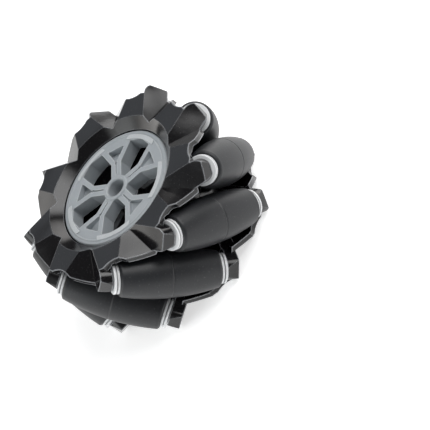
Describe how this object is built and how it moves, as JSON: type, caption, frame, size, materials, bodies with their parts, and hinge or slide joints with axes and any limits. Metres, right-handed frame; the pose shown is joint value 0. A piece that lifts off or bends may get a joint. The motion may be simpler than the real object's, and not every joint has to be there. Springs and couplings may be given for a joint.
{
  "type": "mecanum wheel",
  "caption": "Mecanum wheel with barrel rollers set at 45 degrees between two faceted crown plates, with a spoked hub cap and a drive bore at the back.",
  "frame": {"origin": "on the wheel's axis, in the plane of the back crown's faces that the wheel lies on", "axes": "+Z along the wheel's axis towards the hub cap; +X through the middle of the first roller"},
  "size_m": [0.097, 0.097, 0.0462],
  "materials": {
    "crown_plastic": "glossy black moulded plastic",
    "cap_plastic": "satin light grey moulded plastic",
    "roller_rubber": "matte charcoal rubber",
    "core_plastic": "white nylon",
    "pin_steel": "ground steel",
    "screw_steel": "black oxide"
  },
  "bodies": {
    "hub": {"front_plate": "crown_plastic", "back_plate": "crown_plastic", "hub_cap": "cap_plastic", "plate_screws": "screw_steel", "roller_pin_1": "pin_steel", "roller_pin_2": "pin_steel", "roller_pin_3": "pin_steel", "roller_pin_4": "pin_steel", "roller_pin_5": "pin_steel", "roller_pin_6": "pin_steel", "roller_pin_7": "pin_steel", "roller_pin_8": "pin_steel", "roller_pin_9": "pin_steel"},
    "roller_1": {"roller_tyre_1": "roller_rubber", "roller_core_1": "core_plastic"},
    "roller_2": {"roller_tyre_2": "roller_rubber", "roller_core_2": "core_plastic"},
    "roller_3": {"roller_tyre_3": "roller_rubber", "roller_core_3": "core_plastic"},
    "roller_4": {"roller_tyre_4": "roller_rubber", "roller_core_4": "core_plastic"},
    "roller_5": {"roller_tyre_5": "roller_rubber", "roller_core_5": "core_plastic"},
    "roller_6": {"roller_tyre_6": "roller_rubber", "roller_core_6": "core_plastic"},
    "roller_7": {"roller_tyre_7": "roller_rubber", "roller_core_7": "core_plastic"},
    "roller_8": {"roller_tyre_8": "roller_rubber", "roller_core_8": "core_plastic"},
    "roller_9": {"roller_tyre_9": "roller_rubber", "roller_core_9": "core_plastic"}
  },
  "joints": [
    {"name": "roller_1_spin", "type": "hinge", "parent": "hub", "child": "roller_1", "pos_m": [0.0389, 0, 0.0231], "axis": [0, -0.7071, 0.7071], "continuous": true},
    {"name": "roller_2_spin", "type": "hinge", "parent": "hub", "child": "roller_2", "pos_m": [0.0298, 0.025, 0.0231], "axis": [0.4545, -0.5417, 0.7071], "continuous": true},
    {"name": "roller_3_spin", "type": "hinge", "parent": "hub", "child": "roller_3", "pos_m": [0.00675, 0.03831, 0.0231], "axis": [0.6964, -0.1228, 0.7071], "continuous": true},
    {"name": "roller_4_spin", "type": "hinge", "parent": "hub", "child": "roller_4", "pos_m": [-0.01945, 0.03369, 0.0231], "axis": [0.6124, 0.3536, 0.7071], "continuous": true},
    {"name": "roller_5_spin", "type": "hinge", "parent": "hub", "child": "roller_5", "pos_m": [-0.03655, 0.0133, 0.0231], "axis": [0.2418, 0.6645, 0.7071], "continuous": true},
    {"name": "roller_6_spin", "type": "hinge", "parent": "hub", "child": "roller_6", "pos_m": [-0.03655, -0.0133, 0.0231], "axis": [-0.2418, 0.6645, 0.7071], "continuous": true},
    {"name": "roller_7_spin", "type": "hinge", "parent": "hub", "child": "roller_7", "pos_m": [-0.01945, -0.03369, 0.0231], "axis": [-0.6124, 0.3536, 0.7071], "continuous": true},
    {"name": "roller_8_spin", "type": "hinge", "parent": "hub", "child": "roller_8", "pos_m": [0.00675, -0.03831, 0.0231], "axis": [-0.6964, -0.1228, 0.7071], "continuous": true},
    {"name": "roller_9_spin", "type": "hinge", "parent": "hub", "child": "roller_9", "pos_m": [0.0298, -0.025, 0.0231], "axis": [-0.4545, -0.5417, 0.7071], "continuous": true}
  ]
}
